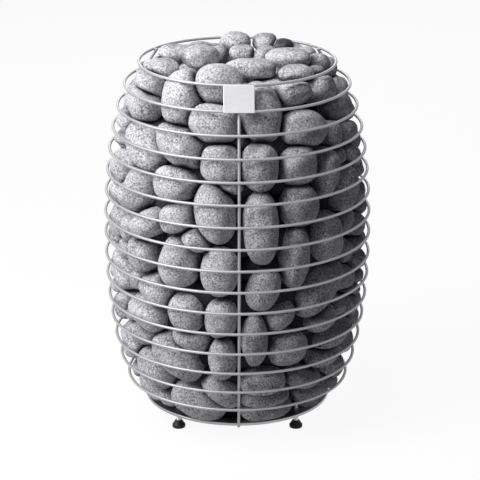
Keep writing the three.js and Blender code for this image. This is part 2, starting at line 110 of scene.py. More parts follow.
# Stones against the front of the cage: turn in degrees (0 is the front, + to its right as one looks at it),
# height of the centre, half width, half height, lean in degrees (+ lifts the right end), set back
WALL_STONES = [
    (-74, 550, 30, 20, 0, 0), (-73, 521, 40, 28, -6, 0), (-37, 541, 33, 48, 6, 2),
    (-14, 516, 39, 29, -8, 0), (14.5, 528, 31, 46, 0, 2), (38, 553, 28, 17, -5, 0),
    (39.5, 502, 41, 28, -8, 0), (66, 546, 26, 24, 0, 4), (79, 512, 24, 34, 35, 0),
    (-59, 466, 46, 29, -30, 0), (-32, 481, 46, 31, -35, 0), (-8.5, 461, 30, 31, 0, 0),
    (3, 489, 22, 22, 0, 30), (12, 456, 27, 37, 0, 0), (33, 453, 29, 31, 0, 0), (50, 433, 17, 37, -17, 0),
    (66, 397, 20, 38, -26, 0), (77, 475, 27, 20, 0, 0), (75, 438, 19, 21, 0, 0),
    (-57, 402, 26, 38, -17, 0), (-32, 426, 35, 28, 15, 0), (-11, 385, 30, 48, 12, 0),
    (-4, 427, 20, 15, 0, 12), (12, 361, 26, 57, 0, 0), (32, 391, 31, 32, 0, 0),
    (50.5, 329, 27, 37, 0, 0), (29.5, 312, 22, 48, -3, 0), (-49, 353, 34, 21, 35, 0),
    (-30.5, 373, 26, 24, 15, 0), (-20, 343, 22, 16, -25, 0), (-54, 299, 28, 25, -30, 0),
    (-30.5, 303, 32, 42, 0, 0), (-9, 294, 29, 39, 0, 0), (-74, 254, 40, 23, -35, 0),
    (80, 320, 26, 20, 0, 0), (77, 297, 24, 15, 8, 0), (-43.5, 251, 30, 22, -20, 0),
    (-52, 202, 36, 26, -20, 0), (-26, 221, 28, 31, 0, 0), (-8, 219, 24, 31, 0, 0),
    (-25, 180, 30, 20, -20, 5), (13, 267, 25, 34, -22, 0), (22.5, 219, 27, 20, 42, 8),
    (45, 249, 50, 26, 38, 0), (46, 203, 27, 17, 16, 0), (74, 199, 20, 24, -15, 0),
    (60, 164, 42, 16, 22, 0), (9, 180, 20, 42, 0, 0), (27, 162, 32, 26, 12, 0),
    (-74, 138, 36, 17, -20, 0), (-56, 107, 42, 29, -20, 0), (-34, 142, 47, 29, -40, 0),
    (-8, 150, 21, 34, 0, 0), (-9.5, 88, 36, 21, -45, 4), (-25.5, 66, 43, 27, -15, 0),
    (-69, 63, 38, 20, -22, 0), (14.5, 108, 34, 19, 0, 0), (17, 76, 42, 15, 0, 10),
    (19, 54, 42, 17, 0, 0), (40, 103, 32, 17, -12, 0), (53, 134, 31, 16, 22, 0), (71, 98, 25, 20, 10, 0),
    (55, 70, 36, 15, 15, 0), (64, 52, 34, 14, 18, 0),
]

# Stones at the two sides, which have no twin at the back
SIDE_STONES = [
    (-83, 484, 32, 17, 0, 0), (-90, 453, 22, 14, 0, 0), (-84, 414, 27, 27, 0, 0),
    (-88, 368, 28, 20, 0, 0), (-83, 322, 30, 24, 0, 0), (-92, 297, 24, 17, 0, 0),
    (-90, 240, 26, 16, 0, 0), (-86, 217, 24, 13, 0, 0), (-68, 217, 18, 15, 0, 0),
    (-81, 193, 26, 18, 0, 0), (-92, 171, 26, 17, 0, 0), (-84, 112, 26, 21, 0, 0),
    (95, 530, 26, 17, 0, 0), (95, 494, 26, 17, 0, 0), (93, 448, 28, 22, 0, 0), (92, 404, 22, 14, 0, 0),
    (88, 369, 28, 19, 10, 0), (94, 340, 26, 17, 0, 0), (93, 288, 24, 14, 0, 0), (82, 264, 26, 17, 10, 0),
    (82, 236, 26, 14, 10, 0), (76, 222, 20, 13, 10, 0), (88, 190, 24, 18, 0, 0), (92, 158, 26, 17, 0, 0),
    (78, 134, 28, 18, 15, 0), (82, 82, 28, 17, 15, 0), (76, 68, 26, 14, 15, 0), (-86, 77, 26, 16, 0, 0),
]

# Smaller stones that close the gaps between the others at the two sides
GAP_STONES = [
    (-94, 552, 21, 20, 0, 2), (-119, 480, 21, 19, 0, 2), (-117, 446, 19, 17, 0, 2), (-99, 412, 17, 14, 0, 2),
    (-103, 372, 20, 23, 0, 0), (-116, 334, 20, 22, 0, 0), (-116, 290, 19, 18, 0, 2), (-99, 272, 24, 12, 0, 4),
    (-110, 246, 33, 20, 8, 0), (-118, 208, 18, 18, 0, 2), (-97, 209, 16, 14, 0, 2),
    (-105, 155, 25, 16, 10, 0),
    (-101, 128, 24, 14, 0, 2), (-97, 96, 16, 22, 0, 2), (-103, 57, 31, 14, 5, 2),
    (106, 442, 26, 26, 0, 0), (104, 411, 20, 13, 0, 2), (84, 421, 16, 11, 0, 4), (106, 381, 27, 18, 0, 0),
    (111, 340, 28, 22, 0, 0), (108, 299, 25, 15, 0, 0), (121, 252, 16, 20, 0, 2), (104, 207, 37, 18, -5, 0),
    (108, 172, 32, 16, 0, 0), (126, 162, 20, 15, 0, 2), (93, 117, 35, 19, 0, 0), (90, 57, 28, 13, 0, 2),
    (-71, 432, 17, 18, 0, 8), (-71, 378, 22, 22, 0, 8), (-68, 328, 17, 22, -10, 8),
    (-70, 294, 22, 14, -15, 8),
    (-59, 253, 18, 18, 0, 10), (-68, 188, 17, 12, 0, 8), (-63, 163, 28, 16, -15, 8),
    (-49, 62, 18, 17, -10, 6),
    (61, 478, 22, 22, 0, 8), (63, 446, 17, 14, 0, 8), (75, 388, 15, 20, 0, 6), (66, 345, 22, 20, 0, 8),
    (65, 295, 18, 20, 0, 8), (68, 247, 22, 20, 0, 8), (61, 207, 18, 16, 0, 8),
]

# Stones bedded in the top of the heap: centre, half sizes along, across and up, heading in degrees
BEDDED_STONES = [
    (72, 98, 577, 20, 22, 12, 0), (107, 46, 572, 17, 19, 16, 0), (126, 16, 572, 17, 20, 14, 0),
    (121, -44, 569, 13, 16, 11, 0), (-30, 60, 571, 15, 20, 17, 0), (44, 30, 573, 20, 21, 21, 0),
    (-59, 82, 571, 22, 18, 17, 0), (0, 0, 537, 46, 46, 30, 0), (75, 30, 545, 46, 44, 26, 20),
    (20, 78, 545, 46, 40, 26, -15), (-60, 55, 543, 46, 42, 26, 40), (-76, -30, 540, 44, 44, 24, 0),
    (-12, -76, 540, 44, 36, 26, 0), (60, -52, 543, 46, 40, 26, 30), (-25, 118, 548, 40, 26, 24, 0),
    (70, 105, 545, 38, 26, 24, 0),
]

# Loose stones lying on top of the heap, in the same columns
CROWN_STONES = {
    "crown_stone_back": (-4, 95, 584, 25, 26, 17, 0),
    "crown_stone_back_right": (44, 104, 582, 21, 24, 13, 0),
    "crown_stone_middle": (8, 38, 580, 20, 20, 12, 0),
    "crown_stone_right": (77, -10, 584, 36, 26, 15, -5),
    "crown_stone_centre": (19, -58, 580, 40, 25, 16, -8),
    "crown_stone_front_right": (87, -68, 577, 27, 20, 12, 8),
    "crown_stone_front": (-29, -112, 569, 39, 29, 32, 0),
    "crown_stone_left": (-117, -14, 568, 30, 32, 16, 0),
    "crown_stone_back_left": (-99, 55, 577, 27, 22, 12, 0),
    "crown_stone_middle_left": (-55, 14, 581, 31, 22, 17, 30),
}

# Stones out of sight behind the others: layers of them, each at two depths
INNER_LAYER = 46
INNER_TOP = 491
INNER_RINGS = [(62, 13, (40, 28, 27)), (112, 8, (42, 34, 28))]


# Camera, light and floor

def make_camera():
    data = bpy.data.cameras.new("camera")
    data.lens = CAMERA_LENS
    data.shift_x = CAMERA_SHIFT
    camera = bpy.data.objects.new("camera", data)
    camera.location = CAMERA_PLACE
    camera.rotation_euler = (math.radians(90 - CAMERA_DOWN), 0, 0)
    bpy.context.scene.collection.objects.link(camera)
    bpy.context.scene.camera = camera


def make_light(name, place, target, size, power):
    data = bpy.data.lights.new(name, "AREA")
    data.size = size
    data.energy = power
    light = bpy.data.objects.new(name, data)
    light.location = place
    light.rotation_euler = (Vector(target) - Vector(place)).to_track_quat("-Z", "Y").to_euler()
    bpy.context.scene.collection.objects.link(light)


def add_node(tree, kind, **values):
    node = tree.nodes.new(kind)
    for name, value in values.items():
        setattr(node, name, value)
    return node


# 1 for a ray from the camera, a reflection or a refraction, which see the studio as white
def seen_ray(tree):
    path = add_node(tree, "ShaderNodeLightPath")
    largest = path.outputs["Is Camera Ray"]
    for name in ("Is Glossy Ray", "Is Transmission Ray"):
        either = add_node(tree, "ShaderNodeMath", operation="MAXIMUM")
        tree.links.new(largest, either.inputs[0])
        tree.links.new(path.outputs[name], either.inputs[1])
        largest = either.outputs[0]
    return largest


def make_world():
    world = bpy.data.worlds.new("studio")
    world.use_nodes = True
    tree = world.node_tree
    tree.nodes.clear()
    soft = add_node(tree, "ShaderNodeBackground")
    soft.inputs["Color"].default_value = (0.9, 0.95, 1.0, 1)
    soft.inputs["Strength"].default_value = 0.02
    white = add_node(tree, "ShaderNodeBackground")
    mix = add_node(tree, "ShaderNodeMixShader")
    out = add_node(tree, "ShaderNodeOutputWorld")
    white.inputs["Color"].default_value = (1, 1, 1, 1)
    tree.links.new(seen_ray(tree), mix.inputs["Fac"])
    tree.links.new(soft.outputs[0], mix.inputs[1])
    tree.links.new(white.outputs[0], mix.inputs[2])
    tree.links.new(mix.outputs[0], out.inputs["Surface"])
    bpy.context.scene.world = world


def floor_material():
    material = bpy.data.materials.new("studio_floor")
    material.use_nodes = True
    tree = material.node_tree
    tree.nodes.clear()
    matt = add_node(tree, "ShaderNodeBsdfDiffuse")
    tree.links.new(spread(tree, seen_ray(tree), 0, 1, 0.35, 0.9), matt.inputs["Color"])
    white = add_node(tree, "ShaderNodeEmission")
    white.inputs["Color"].default_value = (1, 1, 1, 1)
    share = add_node(tree, "ShaderNodeMath", operation="MULTIPLY")
    share.inputs[1].default_value = 0.93
    mix = add_node(tree, "ShaderNodeMixShader")
    out = add_node(tree, "ShaderNodeOutputMaterial")
    tree.links.new(seen_ray(tree), share.inputs[0])
    tree.links.new(share.outputs[0], mix.inputs["Fac"])
    tree.links.new(matt.outputs[0], mix.inputs[1])
    tree.links.new(white.outputs[0], mix.inputs[2])
    tree.links.new(mix.outputs[0], out.inputs["Surface"])
    return material


def make_floor():
    corners = [(x * FLOOR_HALF, y * FLOOR_HALF, 0) for x, y in ((-1, -1), (1, -1), (1, 1), (-1, 1))]
    mesh = bpy.data.meshes.new("floor")
    mesh.from_pydata(corners, [], [(0, 1, 2, 3)])
    mesh.materials.append(floor_material())
    floor = bpy.data.objects.new("floor", mesh)
    bpy.context.scene.collection.objects.link(floor)


def make_studio():
    bpy.context.scene.view_settings.view_transform = "Standard"
    make_camera()
    make_world()
    make_floor()
    middle = (0, 0, 0.34)
    make_light("key", (-1.5, -0.95, 1.95), middle, 1.1, 54)
    make_light("side", (-2.25, -0.75, 1.1), middle, 1.5, 26)
    make_light("top", (-0.45, -0.5, 2.65), middle, 0.8, 18)
    make_light("back", (-0.2, 2.4, 1.7), middle, 1.4, 20)


# Materials

def new_material(name, color, metallic, roughness):
    material = bpy.data.materials.new(name)
    material.use_nodes = True
    shader = material.node_tree.nodes["Principled BSDF"]
    shader.inputs["Base Color"].default_value = (*color, 1)
    shader.inputs["Metallic"].default_value = metallic
    shader.inputs["Roughness"].default_value = roughness
    return material


def noise(tree, coords, scale, detail=4, roughness=0.6, stretch=None):
    node = add_node(tree, "ShaderNodeTexNoise")
    node.inputs["Scale"].default_value = scale
    node.inputs["Detail"].default_value = detail
    node.inputs["Roughness"].default_value = roughness
    if stretch:
        mapping = add_node(tree, "ShaderNodeMapping")
        mapping.inputs["Scale"].default_value = stretch
        tree.links.new(coords, mapping.inputs["Vector"])
        coords = mapping.outputs["Vector"]
    tree.links.new(coords, node.inputs["Vector"])
    return node.outputs["Fac"]


def spread(tree, value, low, high, to_low, to_high):
    node = add_node(tree, "ShaderNodeMapRange")
    for name, number in zip(("From Min", "From Max", "To Min", "To Max"), (low, high, to_low, to_high)):
        node.inputs[name].default_value = number
    tree.links.new(value, node.inputs["Value"])
    return node.outputs["Result"]


def math_node(tree, operation, first, second):
    node = add_node(tree, "ShaderNodeMath", operation=operation)
    for socket, value in zip(node.inputs, (first, second)):
        if isinstance(value, (int, float)):
            socket.default_value = value
        else:
            tree.links.new(value, socket)
    return node.outputs[0]


def ramp(tree, value, stops):
    node = add_node(tree, "ShaderNodeValToRGB")
    while len(node.color_ramp.elements) < len(stops):
        node.color_ramp.elements.new(0.5)
    for element, (position, color) in zip(node.color_ramp.elements, stops):
        element.position = position
        element.color = (*color, 1)
    tree.links.new(value, node.inputs["Fac"])
    return node.outputs["Color"]


def bump(tree, height, distance, strength, below=None):
    node = add_node(tree, "ShaderNodeBump")
    node.inputs["Distance"].default_value = distance
    node.inputs["Strength"].default_value = strength
    tree.links.new(height, node.inputs["Height"])
    if below:
        tree.links.new(below, node.inputs["Normal"])
    return node.outputs["Normal"]


# Grey volcanic pebble: light and dark grains, small pits, soft patches, a tone of its own for each stone, and
# painted shade in the crevices where stones meet
def stone_material():
    material = new_material("sauna_stone", (0.4, 0.4, 0.4), 0, 0.9)
    tree = material.node_tree
    shader = tree.nodes["Principled BSDF"]
    coords = add_node(tree, "ShaderNodeTexCoord").outputs["Object"]
    grain = noise(tree, coords, 350, 3, 0.6)
    mottle = noise(tree, coords, 95, 3, 0.6)
    patch = noise(tree, coords, 26, 3, 0.55)
    hollow = noise(tree, coords, 400, 2, 0.5)
    rough_zone = noise(tree, coords, 38, 2, 0.5)
    pit_edge = math_node(tree, "ADD", hollow, spread(tree, rough_zone, 0.35, 0.65, 0.05, -0.07))
    pit_mask = spread(tree, pit_edge, 0.3, 0.4, 0, 1)
    tone = spread(tree, patch, 0.3, 0.7, 0.88, 1.05)
    tone = math_node(tree, "MULTIPLY", tone, spread(tree, mottle, 0.3, 0.7, 0.91, 1.05))
    own = add_node(tree, "ShaderNodeNewGeometry").outputs["Random Per Island"]
    tone = math_node(tree, "MULTIPLY", tone, spread(tree, own, 0, 1, 0.86, 1.06))
    tone = math_node(tree, "MULTIPLY", tone, spread(tree, pit_mask, 0, 1, 0.34, 1))
    # painted shade from the per-point attribute: near black where stones meet and on the hidden inner stones
    painted_shade = add_node(tree, "ShaderNodeAttribute", attribute_name=PAINTED_SHADE_ATTRIBUTE).outputs["Fac"]
    tone = math_node(tree, "MULTIPLY", tone, spread(tree, painted_shade, 0, 1, 1, 0.06))
    grey = ramp(tree, grain, [
        (0.35, (0.25, 0.248, 0.262)), (0.46, (0.46, 0.457, 0.482)), (0.54, (0.59, 0.586, 0.617)),
        (0.65, (0.8, 0.795, 0.837)),
    ])
    scale = add_node(tree, "ShaderNodeVectorMath", operation="SCALE")
    tree.links.new(grey, scale.inputs["Vector"])
    tree.links.new(tone, scale.inputs["Scale"])
    tree.links.new(scale.outputs["Vector"], shader.inputs["Base Color"])
    fine = bump(tree, grain, 1.2 * MM, 0.7)
    coarse = bump(tree, noise(tree, coords, 110, 4, 0.6), 1.6 * MM, 0.5, fine)
    pitted = bump(tree, pit_mask, 0.9 * MM, 0.6, coarse)
    tree.links.new(pitted, shader.inputs["Normal"])
    tree.links.new(spread(tree, grain, 0.3, 0.7, 0.97, 0.8), shader.inputs["Roughness"])
    shader.inputs["Specular IOR Level"].default_value = 0.3
    return material


# Satin steel with drawn lines along the map's first axis
def steel_material(name, color, metallic, roughness, lines):
    material = new_material(name, color, metallic, roughness)
    tree = material.node_tree
    shader = tree.nodes["Principled BSDF"]
    coords = add_node(tree, "ShaderNodeTexCoord")
    drawn = noise(tree, coords.outputs["UV"], 1, 6, 0.65, lines)
    soil = noise(tree, coords.outputs["Object"], 14, 4, 0.6)
    darker = tuple(0.72 * part for part in color)
    tone = spread(tree, drawn, 0.3, 0.7, 0, 0.6)
    tone = math_node(tree, "ADD", tone, spread(tree, soil, 0.35, 0.7, 0, 0.4))
    tree.links.new(ramp(tree, tone, [(0, darker), (1, color)]), shader.inputs["Base Color"])
    rough = spread(tree, drawn, 0.25, 0.75, roughness - 0.07, roughness + 0.1)
    tree.links.new(rough, shader.inputs["Roughness"])
    tree.links.new(bump(tree, drawn, 0.05 * MM, 0.3), shader.inputs["Normal"])
    return material


# Steel darkened by heat, or plated, with a mottled surface
def mottled_metal(name, color, darker, roughness, scale):
    material = new_material(name, color, 1, roughness)
    tree = material.node_tree
    shader = tree.nodes["Principled BSDF"]
    coords = add_node(tree, "ShaderNodeTexCoord").outputs["Object"]
    mottle = noise(tree, coords, scale, 5, 0.6)
    tree.links.new(ramp(tree, mottle, [(0.3, darker), (0.7, color)]), shader.inputs["Base Color"])
    rough = spread(tree, mottle, 0.3, 0.7, roughness + 0.12, roughness - 0.06)
    tree.links.new(rough, shader.inputs["Roughness"])
    tree.links.new(bump(tree, mottle, 0.1 * MM, 0.25), shader.inputs["Normal"])
    return material


def grained_surface(name, color, lighter, roughness, scale):
    material = new_material(name, color, 0, roughness)
    tree = material.node_tree
    shader = tree.nodes["Principled BSDF"]
    coords = add_node(tree, "ShaderNodeTexCoord").outputs["Object"]
    grain = noise(tree, coords, scale, 3, 0.5)
    tree.links.new(ramp(tree, grain, [(0.35, color), (0.75, lighter)]), shader.inputs["Base Color"])
    rough = spread(tree, grain, 0.3, 0.7, roughness - 0.08, roughness + 0.12)
    tree.links.new(rough, shader.inputs["Roughness"])
    tree.links.new(bump(tree, grain, 0.15 * MM, 0.4), shader.inputs["Normal"])
    shader.inputs["Specular IOR Level"].default_value = 0.2
    return material


MATERIALS = {
    "stone": stone_material(),
    "cage_steel": steel_material("satin_rod", (0.46, 0.46, 0.475), 0.62, 0.5, (3, 40, 1)),
    "plate_steel": steel_material("brushed_plate", (0.62, 0.62, 0.642), 1, 0.36, (2, 160, 1)),
    "base_steel": steel_material("satin_sheet", (0.42, 0.42, 0.43), 1, 0.34, (4, 90, 1)),
    "element_steel": mottled_metal("heated_steel", (0.2, 0.19, 0.19), (0.09, 0.08, 0.09), 0.5, 60),
    "zinc": mottled_metal("zinc_plate", (0.74, 0.75, 0.77), (0.5, 0.51, 0.53), 0.34, 420),
    "black_plastic": grained_surface("moulded_black", (0.012, 0.012, 0.013), (0.03, 0.03, 0.03), 0.42, 700),
    "porcelain": grained_surface("unglazed_porcelain", (0.78, 0.75, 0.69), (0.86, 0.84, 0.79), 0.6, 250),
}


# Meshes

def add_piece(name, body, slot, vertices, faces, uv=None, replaces=(), smooth=True):
    mesh = bpy.data.meshes.new(name)
    mesh.from_pydata([tuple(point) for point in vertices], [], [tuple(face) for face in faces])
    mesh.materials.append(MATERIALS[slot])
    if uv is not None:
        layer = mesh.uv_layers.new(name="drawn")
        corners = np.zeros(len(mesh.loops), dtype=np.int32)
        mesh.loops.foreach_get("vertex_index", corners)
        layer.data.foreach_set("uv", np.asarray(uv, dtype=np.float32)[corners].ravel())
    mesh.polygons.foreach_set("use_smooth", np.full(len(mesh.polygons), smooth))
    piece = bpy.data.objects.new(name, mesh)
    bpy.context.scene.collection.objects.link(piece)
    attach(piece, body)
    if replaces:
        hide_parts(*replaces)
    return piece


# Faces of a grid of points that closes on itself across, and along too if asked
def grid_faces(rows, columns, closed):
    faces = []
    for row in range(rows if closed else rows - 1):
        following = (row + 1) % rows
        for column in range(columns):
            beside = (column + 1) % columns
            faces.append((
                row * columns + column,
                row * columns + beside,
                following * columns + beside,
                following * columns + column,
            ))
    return faces


def joined(parts):
    vertices = []
    faces = []
    for part_vertices, part_faces in parts:
        start = len(vertices)
        vertices.extend(part_vertices)
        faces.extend([tuple(start + index for index in face) for face in part_faces])
    return vertices, faces


# Cage

def ring_name(number):
    return f"ring_{number:02d}"


def ring_size(number):
    low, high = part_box(ring_name(number))
    return (high.x - low.x - WIRE) / 2, (high.z + low.z) / 2


RING_SIZES = [ring_size(number) for number in range(1, RING_COUNT + 1)]
BASE_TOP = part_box("base_plate")[1].z
CAGE_HEIGHTS = [BASE_TOP] + [height for _, height in reversed(RING_SIZES)]
CAGE_RADII = [RING_SIZES[0][0]] + [radius for radius, _ in reversed(RING_SIZES)]


def wall_radius(height):
    return float(np.interp(height, CAGE_HEIGHTS, CAGE_RADII))


def wall_tilt(height, step):
    low = max(height - step, CAGE_HEIGHTS[0])
    high = min(height + step, CAGE_HEIGHTS[-1])
    return math.atan((wall_radius(low) - wall_radius(high)) / (high - low))


def on_circle(radius, turn, height):
    angle = math.radians(turn)
    return np.array((radius * math.sin(angle), -radius * math.cos(angle), height))


# A bent rod, thicker over a short length at the back, where its ends are welded together
def make_ring(number):
    radius, height = RING_SIZES[number - 1]
    vertices = []
    uv = []
    for step in range(RING_STEPS):
        turn = 360 * step / RING_STEPS
        from_weld = radius * math.radians(180 - turn)
        rod = WIRE / 2 * (1 + WELD_SWELL * math.exp(-((from_weld / WELD_LENGTH) ** 2)))
        for side in range(WIRE_SIDES):
            angle = 2 * math.pi * side / WIRE_SIDES
            vertices.append(on_circle(radius + rod * math.cos(angle), turn, height + rod * math.sin(angle)))
            uv.append((step / 8, side / WIRE_SIDES))
    faces = grid_faces(RING_STEPS, WIRE_SIDES, True)
    add_piece(f"rod_{ring_name(number)}", "stove", "cage_steel", vertices, faces, uv, [ring_name(number)])


# Points of a tube along a path that stays in one upright plane, with domed ends
def tube(path, radius, sides, across):
    path = [np.array(point) for point in path]
    rows = []
    for index, point in enumerate(path):
        along = path[min(index + 1, len(path) - 1)] - path[max(index - 1, 0)]
        along = along / np.linalg.norm(along)
        beside = np.cross(along, across)
        end = index in (0, len(path) - 1)
        sign = -1 if index == 0 else 1
        sizes = [(1, 0), (0.75, 0.5), (0.3, 0.8)] if end else [(1, 0)]
        if index == 0:
            sizes = sizes[::-1]
        for share, reach in sizes:
            centre = point + along * sign * reach * radius if end else point
            rows.append([
                centre + share * radius * (math.cos(angle) * across + math.sin(angle) * beside)
                for angle in np.linspace(0, 2 * math.pi, sides, endpoint=False)
            ])
    vertices = [place for row in rows for place in row]
    faces = grid_faces(len(rows), sides, False)
    faces.append(tuple(range(sides))[::-1])
    faces.append(tuple(range((len(rows) - 1) * sides, len(rows) * sides)))
    return vertices, faces


def upright_path(turn):
    places = [on_circle(UPRIGHT_FOOT[0], turn, UPRIGHT_FOOT[1])]
    for number in range(RING_COUNT, 0, -1):
        radius, height = RING_SIZES[number - 1]
        inside = (WIRE + GAP) / math.cos(wall_tilt(height, 34 * MM))
        places.append(on_circle(radius - inside, turn, height))
    return smooth_path(places, 6)


# Points on a smooth curve through the given places
def smooth_path(places, steps):
    padded = [2 * places[0] - places[1]] + list(places) + [2 * places[-1] - places[-2]]
    points = []
    for before, start, end, after in zip(padded, padded[1:], padded[2:], padded[3:]):
        for share in np.arange(steps) / steps:
            points.append(0.5 * (
                2 * start + (end - before) * share
                + (2 * before - 5 * start + 4 * end - after) * share ** 2
                + (3 * start - before - 3 * end + after) * share ** 3
            ))
    return points + [places[-1]]


# A flattened ball of weld metal between a rod and an upright
def weld_bead(place, turn):
    vertices, faces = ball(2)
    outward = on_circle(1, turn, 0)
    across = np.array((-outward[1], outward[0], 0))
    shaped = np.outer(vertices[:, 0] * BEAD[0], across) + np.outer(vertices[:, 1] * BEAD[1], outward)
    shaped[:, 2] += vertices[:, 2] * BEAD[2]
    return list(shaped + place), faces


def make_upright(name, turn):
    sides = 14
    across = on_circle(1, turn + 90, 0)
    parts = [tube(upright_path(turn), WIRE / 2, sides, across)]
    rod_count = len(parts[0][0])
    for radius, height in RING_SIZES:
        parts.append(weld_bead(on_circle(radius - WIRE / 2, turn, height), turn))
    vertices, faces = joined(parts)
    uv = [(index // sides / 4, index % sides / sides) if index < rod_count else (0, 0.5)
          for index in range(len(vertices))]
    add_piece(f"rod_{name}", "stove", "cage_steel", vertices, faces, uv, [name])


_balls = {}


def ball_edges(level):
    faces = np.array(ball(level)[1])
    pairs = np.concatenate([faces[:, (0, 1)], faces[:, (1, 2)], faces[:, (2, 0)]])
    return np.unique(np.sort(pairs, axis=1), axis=0)


def ball(level):
    if level not in _balls:
        sphere = bmesh.new()
        bmesh.ops.create_icosphere(sphere, subdivisions=level, radius=1)
        vertices = np.array([vertex.co[:] for vertex in sphere.verts])
        faces = [tuple(vertex.index for vertex in face.verts) for face in sphere.faces]
        sphere.free()
        _balls[level] = (vertices, faces)
    return _balls[level]


def make_cage():
    for number in range(1, RING_COUNT + 1):
        make_ring(number)
    for name, turn in UPRIGHT_TURNS.items():
        make_upright(name, turn)


# A bare plate with eased edges on the fronts of the two top rings
def make_front_plate():
    (top_radius, top), (low_radius, low) = RING_SIZES[:2]
    tilt = math.atan2(low_radius - top_radius, top - low)
    offset = WIRE / 2 + GAP + PLATE_SIZE[1] / 2
    outward = offset * math.cos(tilt) + PLATE_DROP * math.sin(tilt)
    upward = offset * math.sin(tilt) - PLATE_DROP * math.cos(tilt)
    centre = on_circle((top_radius + low_radius) / 2 + outward, FRONT_TURN, (top + low) / 2 + upward)
    shape = bmesh.new()
    bmesh.ops.create_cube(shape, size=1)
    bmesh.ops.scale(shape, vec=PLATE_SIZE, verts=shape.verts)
    bmesh.ops.bevel(shape, geom=shape.edges[:], offset=PLATE_EDGE, segments=3, affect="EDGES", profile=0.5)
    flat = np.array([vertex.co[:] for vertex in shape.verts])
    faces = [tuple(vertex.index for vertex in face.verts) for face in shape.faces]
    shape.free()
    placed = flat @ (turn_about(2, FRONT_TURN) @ turn_about(0, -math.degrees(tilt))).T + centre
    uv = np.column_stack((flat[:, 0], flat[:, 2])) / PLATE_SIZE[2]
    add_piece("bare_plate", "stove", "plate_steel", placed, faces, uv, ["front_plate"], smooth=False)


# Turned pieces

# Place at a share of a full turn about an upright axis
def around(place, radius, turn, height):
    angle = 2 * math.pi * turn
    return place[0] + radius * math.cos(angle), place[1] + radius * math.sin(angle), height


# Middle and half width of a round upright node
def round_node(name):
    low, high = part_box(name)
    return ((low.x + high.x) / 2, (low.y + high.y) / 2), (high.y - low.y) / 2, low.z, high.z


# Revolves points of radius and height about an upright axis; the ends may lie on the axis
def turned(points, place, segments):
    vertices = []
    uv = []
    length = 0
    for index, (radius, height) in enumerate(points):
        if index:
            length += math.dist(points[index - 1], points[index])
        for segment in range(segments):
            vertices.append(around(place, radius, segment / segments, height))
            uv.append((segment / segments * 6, length / 0.05))
    faces = [tuple(reversed(face)) for face in grid_faces(len(points), segments, False)]
    first = tuple(range(segments))
    last = tuple(range((len(points) - 1) * segments, len(points) * segments))
    return vertices, faces + [first, last[::-1]], uv


# Rounds the corners of a profile with short arcs
def rounded(points, radius, steps=4):
    result = [points[0]]
    for before, corner, after in zip(points, points[1:], points[2:]):
        corner = np.array(corner)
        back = np.array(before) - corner
        ahead = np.array(after) - corner
        reach = min(radius, np.linalg.norm(back) / 2, np.linalg.norm(ahead) / 2)
        start = corner + back / np.linalg.norm(back) * reach
        end = corner + ahead / np.linalg.norm(ahead) * reach
        for share in np.linspace(0, 1, steps + 1):
            place = (1 - share) ** 2 * start + 2 * share * (1 - share) * corner + share ** 2 * end
            result.append(tuple(place))
    return result + [points[-1]]


def make_base():
    low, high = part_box("base_plate")
    radius = high.x
    inner = radius - BASE_SHEET
    under = high.z - BASE_SHEET
    profile = rounded([
        (1 * MM, under), (inner, under), (inner, low.z), (radius, low.z), (radius, high.z), (1 * MM, high.z),
    ], 0.9 * MM)
    vertices, faces, uv = turned(profile, (0, 0), 160)
    add_piece("base_sheet", "stove", "base_steel", vertices, faces, uv, ["base_plate"])


def make_pad(corner, body):
    place, radius, _, top = round_node(f"foot_pad_{corner}")
    profile = rounded([
        (0.5 * MM, 0), (radius - 0.5 * MM, 0), (radius, 1.2 * MM), (radius, PAD_SIDE),
        (radius - 1.6 * MM, PAD_SIDE + 1.4 * MM), (PAD_NECK + 0.8 * MM, top - 1.2 * MM),
        (PAD_NECK, top), (0.5 * MM, top),
    ], 1.0 * MM)
    vertices, faces, uv = turned(profile, place, 48)
    add_piece(f"pad_{corner}", body, "black_plastic", vertices, faces, uv, [f"foot_pad_{corner}"])


# A threaded rod: the radius rises and falls along a helix
def make_stud(corner, body):
    place, radius, low, high = round_node(f"foot_stud_{corner}")
    segments = 24
    rows = int((high - low) / THREAD_PITCH * 6)
    vertices = []
    for row in range(rows + 1):
        height = low + (high - low) * row / rows
        for segment in range(segments):
            turn = segment / segments
            phase = (height / THREAD_PITCH - turn) % 1
            depth = THREAD_DEPTH * abs(2 * phase - 1)
            vertices.append(around(place, radius - depth, turn, height))
    faces = grid_faces(rows + 1, segments, False)
    faces.append(tuple(range(segments))[::-1])
    faces.append(tuple(range(rows * segments, (rows + 1) * segments)))
    add_piece(f"stud_{corner}", body, "zinc", vertices, faces, None, [f"foot_stud_{corner}"])


# A hexagon nut with its corners turned off at both ends
def make_nut(corner):
    place, flat, low, high = round_node(f"foot_nut_{corner}")
    bore = round_node(f"foot_stud_{corner}")[1] + GAP
    segments = 72
    chamfer = 0.9 * MM
    heights = [low, low, low + chamfer, high - chamfer, high, high]
    limits = [bore, flat * 0.98, flat * 1.2, flat * 1.2, flat * 0.98, bore]
    vertices = []
    for height, limit in zip(heights, limits):
        for segment in range(segments):
            turn = segment / segments
            from_flat = 2 * math.pi * (turn % (1 / 6) - 1 / 12)
            vertices.append(around(place, min(flat / math.cos(from_flat), limit), turn, height))
    faces = grid_faces(len(heights), segments, True)
    add_piece(f"nut_{corner}", "stove", "zinc", vertices, faces, None, [f"foot_nut_{corner}"], smooth=False)


def make_feet():
    for corner in CORNERS:
        body = f"foot_{corner}"
        make_pad(corner, body)
        make_stud(corner, body)
        make_nut(corner)


# Stones

def turn_about(axis, degrees):
    angle = math.radians(degrees)
    cosine = math.cos(angle)
    sine = math.sin(angle)
    first, second = [(1, 2), (2, 0), (0, 1)][axis]
    matrix = np.identity(3)
    matrix[first, first] = matrix[second, second] = cosine
    matrix[first, second] = -sine
    matrix[second, first] = sine
    return matrix


